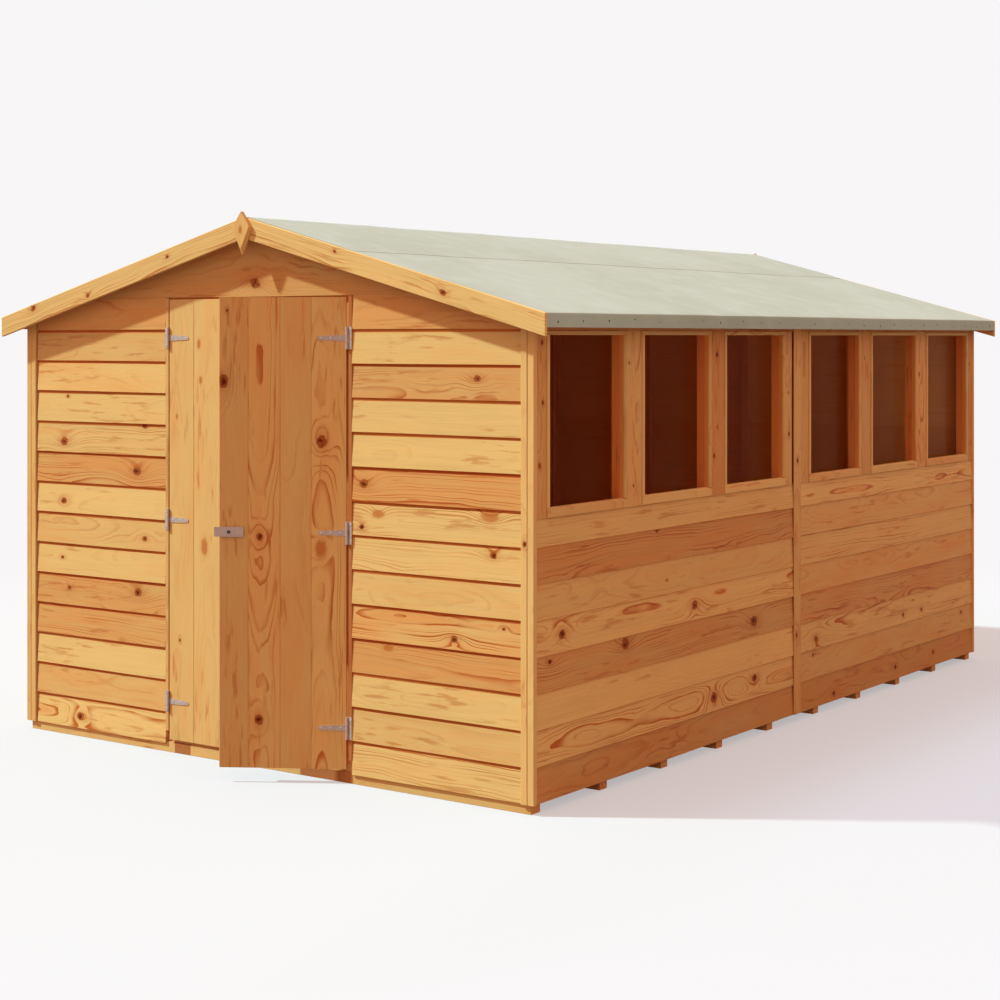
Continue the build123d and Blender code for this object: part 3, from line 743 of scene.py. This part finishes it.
# ---- Roof boards and beams ----
# Tongued boards run the length of each slope, on a ridge beam, two purlins and an eave rail. Their
# undersides show inside and under the overhangs.
roof_rng = np.random.default_rng(71)
ROOF_BOARDS = 11
roof_low, roof_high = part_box("roof_panel_right")
board_span = roof_high.x / ROOF_BOARDS
roof_outline = eased_outline(board_span, 0.011 / math.cos(ROOF_PITCH), 0.0015)[::-1]
roof_pine = planed_pine("Roof board pine", back=ALL_ROUND)
for side, hand in HANDS:
    down_slope = hand * X - ROOF_SLOPE * Z
    roof_boards = [
        pine_board(
            roof_rng, (roof_peak * Z + number * board_span * down_slope, Y, down_slope, Z), roof_outline,
            (roof_low.y, roof_high.y, 9), roof_rng.choice(BATCH),
            scattered_knots(roof_rng, roof_low.y, roof_high.y, board_span, 1.2))
        for number in range(ROOF_BOARDS)]
    nail_up(side + "_roof_boards", roof_boards, roof_pine, "roof_boards", "roof_panel_" + side)
dress(long_timber, "eave_rails", "ridge_beam", "purlins")

# ---- Felt ----
# Green mineral felt, 3 mm thick, lies over each slope and turns down over the eave, where clout nails
# hold it. A third width is lapped over the ridge. The sheets lie a little unevenly.
FELT = 0.003
FELT_TURN = 0.007
felt_low, felt_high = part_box("felt_right")
felt_peak = felt_high.z
felt_green, tree, shader = new_finish("Green mineral felt")
felt_x, felt_y, felt_z = object_place(tree)
felt_down = total(felt_x, felt_z)
soft = cloud(felt_y, felt_down, 1.5, 2.2, 3)
mottle = cloud(felt_y, felt_down, 9, 13, 4)
grain = cloud(felt_y, felt_down, 420, 420, 1)
felt_colour = blend(eased(soft, 0.3, 0.7), (0.417, 0.408, 0.33, 1), (0.456, 0.444, 0.367, 1))
felt_colour = blend(eased(mottle, 0.45, 0.75, 0, 0.35), felt_colour, (0.51, 0.492, 0.424, 1))
felt_colour = blend(eased(grain, 0.5, 0.85, 0, 0.22), felt_colour, (0.3, 0.31, 0.24, 1))
# Painted shade colour: the turned-down band, which stands in shade, is made less red and greener.
turned_down = eased(calc("ABSOLUTE", felt_x), felt_high.x - 0.004, felt_high.x - 0.001)
felt_colour = blend(turned_down, felt_colour, (0.93, 1.12, 1.1, 1), "MULTIPLY")
fill(shader, Specular_IOR_Level=0.15, Base_Color=felt_colour, Roughness=eased(grain, 0.2, 0.8, 0.85, 0.97),
     Normal=relief(total(grain, times(mottle, 0.4)), 0.3, 0.0006))


def felt_sheet(name, node, path_x, path_z, normal_x, normal_z, thickness):
    """A sheet of felt: a path across the roof, and the same path set in by the thickness, carried from
    verge to verge as one closed shell. Slow waves over x and y, of about a millimetre, lift the upper face."""
    y = np.linspace(felt_low.y, felt_high.y, 90)[:, None]
    lift = 0.0004 * (np.sin(5.3 * y + 3.1 * path_x + 0.4) + np.sin(9.7 * y - 6 * path_x + 2.1)
                     + 0.7 * np.sin(17 * y + 11 * path_x + 4) + np.sin(2.2 * y + 5.2))
    upper, lower = [
        np.stack(np.broadcast_arrays(path_x + normal_x * off, y, path_z + normal_z * off), -1)
        for off in (lift, -thickness)]
    points = np.concatenate([upper, lower[:, ::-1]], axis=1)
    number, sides = skin(*points.shape[:2])
    over, under = np.split(number, 2, axis=1)
    under = under[:, ::-1]
    ends = [np.stack([over[row, :-1], over[row, 1:], under[row, 1:], under[row, :-1]], -1) for row in (0, -1)]
    mesh = bpy.data.meshes.new(name)
    mesh.from_pydata(points.reshape(-1, 3), [], np.concatenate([sides] + ends).tolist())
    fix_on(name, mesh, felt_green, "shed", "felt", node, crease=40)


# The path from the ridge: down the slope, round the eave by the lean of the face, and down the band
turn = np.linspace(math.pi / 2 - ROOF_PITCH, 0, 7)
slope_x = np.linspace(0, felt_high.x - FELT_TURN, 26)
slope_z = felt_peak - slope_x * ROOF_SLOPE
turn_x = slope_x[-1] + FELT_TURN * np.cos(turn)
turn_z = slope_z[-1] - FELT_TURN * math.cos(ROOF_PITCH) + FELT_TURN * np.sin(turn)
band_z = np.linspace(turn_z[-1], felt_low.z, 5)[1:]
lean = np.concatenate([0 * slope_x[:-1] + turn[0], turn, 0 * band_z])
eave_x = np.concatenate([slope_x[:-1], turn_x, 0 * band_z + felt_high.x])
eave_z = np.concatenate([slope_z[:-1], turn_z, band_z])
for side, hand in HANDS:
    felt_sheet(side + "_felt", "felt_" + side, hand * eave_x, eave_z, hand * np.cos(lean), np.sin(lean), FELT)
ridge_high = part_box("ridge_felt")[1]
ridge_x = np.linspace(-ridge_high.x, ridge_high.x, 41)
ridge_z = ridge_high.z - np.sqrt(ridge_x ** 2 + 0.005 ** 2) * ROOF_SLOPE
ridge_thickness = np.interp(np.abs(ridge_x), [ridge_high.x - 0.08, ridge_high.x], [FELT, 0.0008])
felt_sheet(
    "ridge_felt_lap", "ridge_felt", ridge_x, ridge_z - (FELT - ridge_thickness), np.sign(ridge_x) * 0.26,
    np.full(ridge_x.shape, 0.966), ridge_thickness + 0.0022)

# Clout nails with dulled round heads hold the turned-down felt along each eave.
dull_steel, tree, shader = new_finish("Dulled nail steel")
nail_x, nail_y, nail_z = object_place(tree)
worn = cloud(total(nail_x, nail_y), nail_z, 300, 300)
steel_colour = blend(eased(worn, 0.35, 0.7), (0.035, 0.026, 0.024, 1), (0.1, 0.08, 0.075, 1))
fill(shader, Metallic=0.6, Base_Color=steel_colour, Roughness=eased(worn, 0.3, 0.7, 0.4, 0.65))
HEAD_CORNERS = 12
HEAD_RINGS = np.array([1, 0.8, 0.5, 0.2])[:, None, None]


def round_heads(name, places, out, radius, rise, material, body):
    """Round heads of nails or screws, all facing one level way: each is a dome that stands out by
    rise * (1 - r^2) at the share r of its radius, drawn as rings about its own axis."""
    side = np.array([-out[1], out[0], 0])
    turn = np.linspace(0, 2 * math.pi, HEAD_CORNERS, endpoint=False)[None, :, None]
    dome = HEAD_RINGS * radius * (np.cos(turn) * side + np.sin(turn) * Z) + rise * (1 - HEAD_RINGS ** 2) * out
    number, sides = skin(len(HEAD_RINGS), HEAD_CORNERS)
    one = sides + [number[-1].tolist(), number[0][::-1].tolist()]
    mesh = bpy.data.meshes.new(name)
    mesh.from_pydata((np.array(places)[:, None, None, :] + dome).reshape(-1, 3), [], [
        [corner + number.size * head for corner in face] for head in range(len(places)) for face in one])
    fix_on(name, mesh, material, body, "galvanised", crease=50)


nail_rng = np.random.default_rng(79)
NAILS = 25
nail_runs = np.linspace(felt_low.y + 0.06, felt_high.y - 0.06, NAILS)
for side, hand in HANDS:
    nail_places = np.stack([
        np.full(NAILS, hand * (felt_high.x - 0.0005)), nail_runs + nail_rng.normal(0, 0.012, NAILS),
        (felt_low.z + turn_z[-1]) / 2 + nail_rng.normal(0, 0.003, NAILS)], -1)
    round_heads(side + "_clout_nails", nail_places, hand * X, 0.0042, 0.0016, dull_steel, "shed")

# ---- Bargeboards and finials ----
# A planed board closes each verge under the felt and meets its fellow in a plumb cut at the ridge. A
# pointed finial with a chamfered lower half is nailed over that joint, front and back.
barge_rng = np.random.default_rng(89)
barge_low, barge_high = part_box("bargeboards_right")
BARGE = 0.014
BARGE_DEPTH = 0.075
barge_outline = eased_outline(BARGE_DEPTH, BARGE, 0.002)
for side, hand in HANDS:
    barges = [
        pine_board(
            barge_rng, ((0, plane, felt_peak - BARGE_DEPTH), hand * X - ROOF_SLOPE * Z, Z, facing), barge_outline,
            (0, barge_high.x, 15), "lined", scattered_knots(barge_rng, 0.2, 1.2, BARGE_DEPTH, 0.4))
        for plane, facing in ((barge_low.y + BARGE, -Y), (barge_high.y - BARGE, Y))]
    nail_up(side + "_bargeboards", barges, trim_pine, "trim", "bargeboards_" + side)
finial_low, finial_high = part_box("finials")
FINIAL = 0.015


def both_halves(top, right, bottom):
    """A closed outline from its top, its right side and its bottom, the left side mirrored."""
    return np.concatenate([[(0, top)], right, [(0, bottom)], np.array(right)[::-1] * (-1, 1)])


finial_rim = both_halves(
    0, [(0.0145, 0.019), (0.034, 0.046), (0.0385, 0.056), (0.0395, 0.07)], finial_high.z - finial_low.z)
finial_face = both_halves(0.0012, [(0.0137, 0.0195), (0.033, 0.0465), (0.0365, 0.056), (0.0305, 0.069)], 0.13)
rim_depth = FINIAL - np.array([0.001, 0.001, 0.001, 0.001, 0.008, 0.009, 0.008, 0.001, 0.001, 0.001])


def cut_finial(rng, plane, facing, drop):
    """A finial as three loops of its outline: against the bargeboards, at its rim, and drawn in on its
    face, so that the lower sides are broadly chamfered. The grain runs up, with one knot in the middle. It
    is nailed on lower by a drop."""
    outline = np.concatenate([finial_rim, finial_rim, finial_face])
    out = np.concatenate([0 * rim_depth, rim_depth, np.full(rim_depth.shape, FINIAL)])
    points = np.stack([outline[:, 0], plane + facing * out, finial_high.z - drop - outline[:, 1]], -1)
    number, sides = skin(3, len(rim_depth))
    faces = sides + [number[0][::-1].tolist(), number[-1].tolist()]
    grain = np.stack([-outline[:, 1], outline[:, 0] + 0.04 + FINIAL - out], -1)
    grain = grain[np.concatenate(faces)] + (rng.uniform(5, 60), 0)
    knot = (grain[:, 0].max() - 0.064, 0.038, -0.006)
    values = ((-0.05, 0.06, 0), (0, 0.34, 0.3), knot, (0, 0, 0), (0, 0, 0))
    return {"points": points, "faces": faces, "map": grain, **dict(zip(BOARD_VALUES, values))}


finials = [
    cut_finial(barge_rng, finial_low.y + FINIAL, -1, 0), cut_finial(barge_rng, finial_high.y - FINIAL, 1, 0.012)]
nail_up("pointed_finials", finials, trim_pine, "trim", "finials")

# ---- Door leaves ----
# Each leaf is made of upright boards with a small V at the joints, on three ledges behind. The left leaf is
# shut and the right leaf stands ajar, as they rest.
door_rng = np.random.default_rng(97)
door_pine = planed_pine("Upright door pine", ring_width=0.0098)
LEAF = 0.011
LEAF_SET = 0.005
leaf_low, leaf_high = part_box("left_door_leaf")
HINGE_X = 0.427
HINGE_Y = leaf_low.y - LEAF_SET
AJAR = math.radians(31.5)
# Each leaf's hinge, the way along it and the way out of its face
leaf_sides = {
    side: (HINGE_Y * Y + hand * HINGE_X * X, -hand * math.cos(open_by) * X - math.sin(open_by) * Y,
           math.sin(open_by) * X - math.cos(open_by) * Y)
    for (side, hand), open_by in zip(HANDS, (0, AJAR))}


def on_leaf(side, along_leaf, outward, height):
    """A place on a leaf: along from its hinge axis, outward from the axis, and up."""
    hinge, run, face = leaf_sides[side]
    return hinge + along_leaf * run + outward * face + height * Z


# The boards of each leaf from its hinge: edges along it, kinds, and the pith behind those with tall arches
leaf_boards = {
    "left": ((0.0025, 0.126, 0.262, 0.4065), ("golden", "golden", "golden"), (None, None, None), 0.05),
    "right": ((0.0025, 0.124, 0.2313, 0.342, 0.4425), ("arched", "golden", "arched", "leaf"),
              ((0.085, 0.07, 0.042), None, (0.071, 0.072, -0.04), None), 0),
}
# Knots on the leaves in millimetres: along from the hinge, height and radius
leaf_knots = {
    "left": [(179, 767, -13), (151, 1500, -7), (160, 1370, -6), (40, 1235, -4), (56, 418, 5)],
    "right": [(428, 1376, 19), (415, 1617, 5), (87, 1169, 18), (302, 841, 12), (304, 214, 15), (90, 801, -14)],
}
for side, (edges, kinds, piths, lighter) in leaf_boards.items():
    _, run, face = leaf_sides[side]
    boards = []
    for low, high, kind, pith in zip(edges[:-1], edges[1:], kinds, piths):
        marks = np.array(leaf_knots[side]) / 1000
        marks = marks[(marks[:, 0] > low) & (marks[:, 0] < high)] - (low, 0, 0)
        boards.append(pine_board(
            door_rng, (on_leaf(side, low, -LEAF_SET - LEAF, 0), Z, run, face),
            eased_outline(high - low - 0.0004, LEAF, 0.0012), (leaf_low.z, leaf_high.z, 15), kind,
            marks[:, (1, 0, 2)], lightness=lighter, pith=pith))
    nail_up(side + "_leaf_boards", boards, door_pine, "door_boards", side + "_door_leaf", body=side + "_door")

# Three ledges cross the back of each leaf, short of its edges, and hold its boards together.
ledge_rng = np.random.default_rng(101)
LEDGE = 0.022
LEDGE_DEPTH = 0.095
LEDGE_INSET = 0.04
LEDGE_END = 0.16
ledge_outline = eased_outline(LEDGE_DEPTH, LEDGE, 0.003)
ledge_pine = planed_pine("Sawn ledge pine", ring_width=0.0078)
for side, (edges, *_) in leaf_boards.items():
    _, run, face = leaf_sides[side]
    first, last = edges[0] + LEDGE_INSET, edges[-1] - LEDGE_INSET
    ledges = [
        pine_board(
            ledge_rng, (on_leaf(side, 0, -LEAF_SET - LEAF - LEDGE, middle - LEDGE_DEPTH / 2), run, Z, face),
            ledge_outline, (first, last, 7), ledge_rng.choice(["warm", "lined"]),
            scattered_knots(ledge_rng, first, last, LEDGE_DEPTH, 0.5))
        for middle in (leaf_low.z + LEDGE_END, (leaf_low.z + leaf_high.z) / 2, leaf_high.z - LEDGE_END)]
    nail_up(side + "_leaf_ledges", ledges, ledge_pine, "door_boards", side + "_door_ledges", body=side + "_door")

# ---- Hinges and turn button ----
# Galvanised tee hinges carry the leaves, a plate screwed to the jamb and a tapered strap to the leaf. A
# flat turn button on the right leaf closes the pair.
zinc, tree, shader = new_finish("Galvanised steel")
zinc_x, zinc_y, zinc_z = object_place(tree)
zinc_along = total(zinc_x, zinc_y)
spangle = cloud(zinc_along, zinc_z, 60, 60)
dull = cloud(zinc_along, zinc_z, 22, 22, 3)
zinc_colour = blend(eased(spangle, 0.3, 0.7), (0.46, 0.322, 0.266, 1), (0.53, 0.376, 0.31, 1))
zinc_colour = blend(eased(dull, 0.5, 0.8, 0, 0.4), zinc_colour, (0.39, 0.262, 0.205, 1))
fill(shader, Metallic=0.22, Base_Color=zinc_colour, Roughness=eased(spangle, 0.3, 0.7, 0.45, 0.6),
     Normal=relief(spangle, 0.15, 0.0004))
dress(zinc, "hinge_plates", "left_hinge_straps", "right_hinge_straps", "turn_button")

# The button turns on one dark screw. Round-headed screws hold the plates to the jambs and the straps to the
# leaves, through to the ledges.
dress(dull_steel, "turn_button_screw")
plates_low, plates_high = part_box("hinge_plates")
PLATE = 0.077
METAL_FACE = -0.003
hinge_heights = (plates_low.z + PLATE / 2, (plates_low.z + plates_high.z) / 2, plates_high.z - PLATE / 2)
plate_screws = [
    (hand * (HINGE_X + 0.012), HINGE_Y - METAL_FACE, height + rise)
    for hand in (-1, 1) for height in hinge_heights for rise in (-0.027, 0.027)]
round_heads("plate_screws", plate_screws, -Y, 0.0036, 0.0016, zinc, "shed")
for side, _ in HANDS:
    strap_screws = [
        on_leaf(side, along, METAL_FACE, height) for height in hinge_heights for along in (0.022, 0.055, 0.088)]
    round_heads(side + "_strap_screws", strap_screws, leaf_sides[side][2], 0.0034, 0.0015, zinc, side + "_door")

# ---- Ground, light and camera ----
# A pale floor keeps the shadow, and fades into the backdrop. Low sun comes from the front left over a soft
# warm sky, and the camera stands level to the front right.
BACKDROP = (0.939, 0.922, 0.93, 1)
GROUND_HALF = 60.0


def show_backdrop(tree, lit, plain, output, seen_share=lambda seen: seen):
    """Mixes a plain glow over a lit surface for the rays that see it: from the camera, or by mirror or glass."""
    ray = tree.nodes.new("ShaderNodeLightPath")
    seen = largest(*[ray.outputs["Is " + way + " Ray"] for way in ("Camera", "Glossy", "Transmission")])
    mix = new_node("MixShader", lit)
    for socket, value in zip(mix.inputs, (seen_share(seen), lit, plain)):
        feed(socket, value)
    feed(tree.nodes[output].inputs["Surface"], mix.outputs["Shader"])
    return seen


ground_mesh = bpy.data.meshes.new("ground")
ground_mesh.from_pydata(
    [(GROUND_HALF * x, GROUND_HALF * y, 0) for x, y in ((-1, -1), (1, -1), (1, 1), (-1, 1))], [], [(0, 1, 2, 3)])
ground = add_object("ground", ground_mesh)
ground_pale, tree, shader = new_finish("Pale ground")
ground_x, ground_y, _ = object_place(tree)
# Painted light: beside the right wall, where the shed's shadow falls, the glow turns bluer and stronger and the floor
# warmer, so the shadow there reads lilac and lightens further off.
wall_off = eased(ground_x, side_plane + 0.05, side_plane + 1.15)
far_off = calc("SQRT", total(square(ground_x), square(minus(ground_y, 1.8))))
fade = eased(far_off, 2.4, 6)
glow = blend(wall_off, (0.99, 0.957, 0.962, 1), (0.99, 1.03, 1.13, 1))
backdrop = fill(new_node("Emission", fade), Color=blend(fade, glow, BACKDROP))
least_glow = eased(wall_off, 0, 1, 0.45, 0.6)
seen = show_backdrop(
    tree, shader.outputs["BSDF"], backdrop.outputs["Emission"], "Material Output",
    lambda seen: times(seen, eased(fade, 0, 1, least_glow, 1)))
pale = blend(wall_off, (0.585, 0.56, 0.562, 1), (0.57, 0.475, 0.39, 1))
fill(shader, Roughness=0.9, Specular_IOR_Level=0, Base_Color=blend(seen, (0.26, 0.2, 0.175, 1), pale))
ground_mesh.materials.append(ground_pale)

sky = bpy.data.worlds.new("Soft sky")
bpy.context.scene.world = sky
sky.use_nodes = True
tree = sky.node_tree
light = fill(tree.nodes["Background"], Color=(1, 0.66, 0.555, 1), Strength=0.87)
plain = fill(tree.nodes.new("ShaderNodeBackground"), Color=BACKDROP)
show_backdrop(tree, light.outputs["Background"], plain.outputs["Background"], "World Output")

sun_lamp = bpy.data.lights.new("Low sun", "SUN")
sun_lamp.energy = 5.25
sun_lamp.angle = math.radians(2.4)
sun_lamp.color = (0.62, 0.94, 1)
sun = add_object("low_sun", sun_lamp)
SUN_ELEVATION = math.radians(46)
SUN_TRAVEL = math.radians(57.5)
sun.rotation_euler = (math.pi / 2 - SUN_ELEVATION, 0, -SUN_TRAVEL)

camera_data = bpy.data.cameras.new("camera")
camera_data.lens = 69.2
camera_data.sensor_width = 36
camera_data.shift_y = -0.163
camera = add_object("camera", camera_data)
camera.location = (4.658, -5.0864, 1.5263)
camera.rotation_euler = (math.radians(90), 0, math.radians(35.44))
bpy.context.scene.camera = camera
bpy.context.scene.view_settings.view_transform = "Standard"
